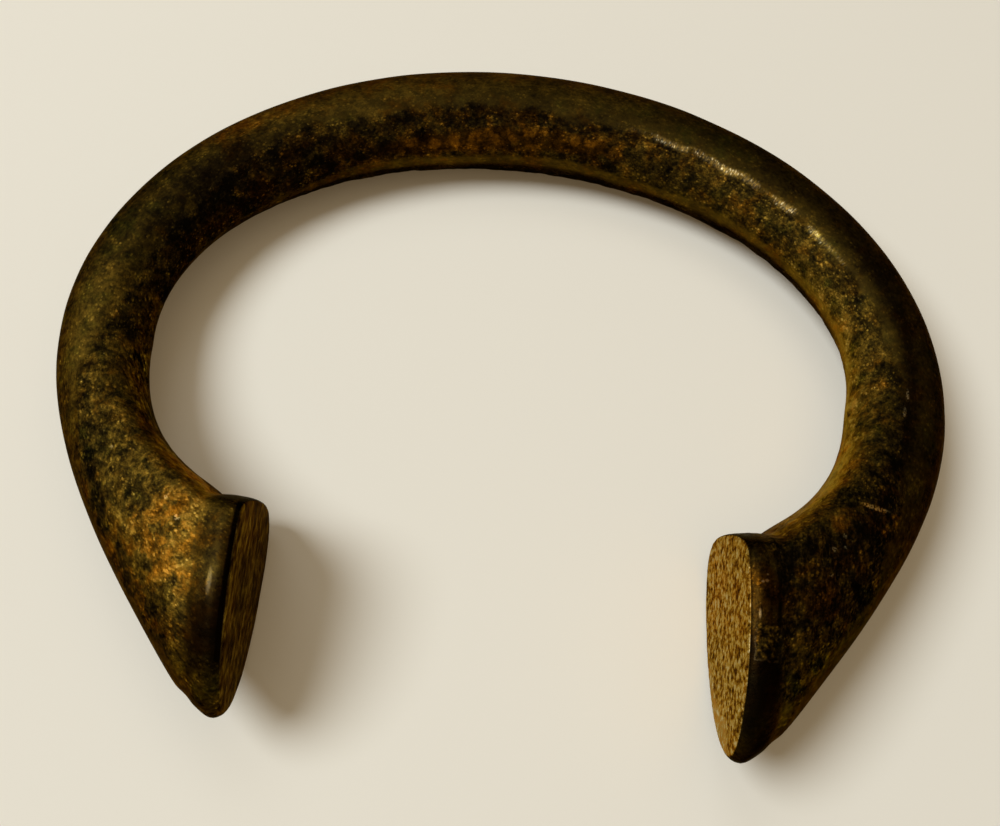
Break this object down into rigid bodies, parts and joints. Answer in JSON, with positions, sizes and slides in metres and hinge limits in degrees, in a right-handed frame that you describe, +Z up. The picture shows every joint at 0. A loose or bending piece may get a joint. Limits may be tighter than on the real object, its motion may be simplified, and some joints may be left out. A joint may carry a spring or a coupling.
{
  "type": "manilla",
  "caption": "Open penannular ring of cast copper alloy with two flared, flat-faced hoof terminals that face each other.",
  "frame": {"origin": "centre of the underside of the ring's bounding box, on the surface that it lies on", "axes": "+X from the left terminal to the right one, +Y from the gap to the closed back of the ring, +Z up"},
  "size_m": [0.066, 0.056, 0.0128],
  "materials": {
    "bronze_patina": "cast copper alloy under a dark olive-brown patina, satin on the outside, pitted and ochre-speckled on the inside and on the two end faces"
  },
  "bodies": {
    "root": {"manilla": "bronze_patina"}
  },
  "joints": []
}
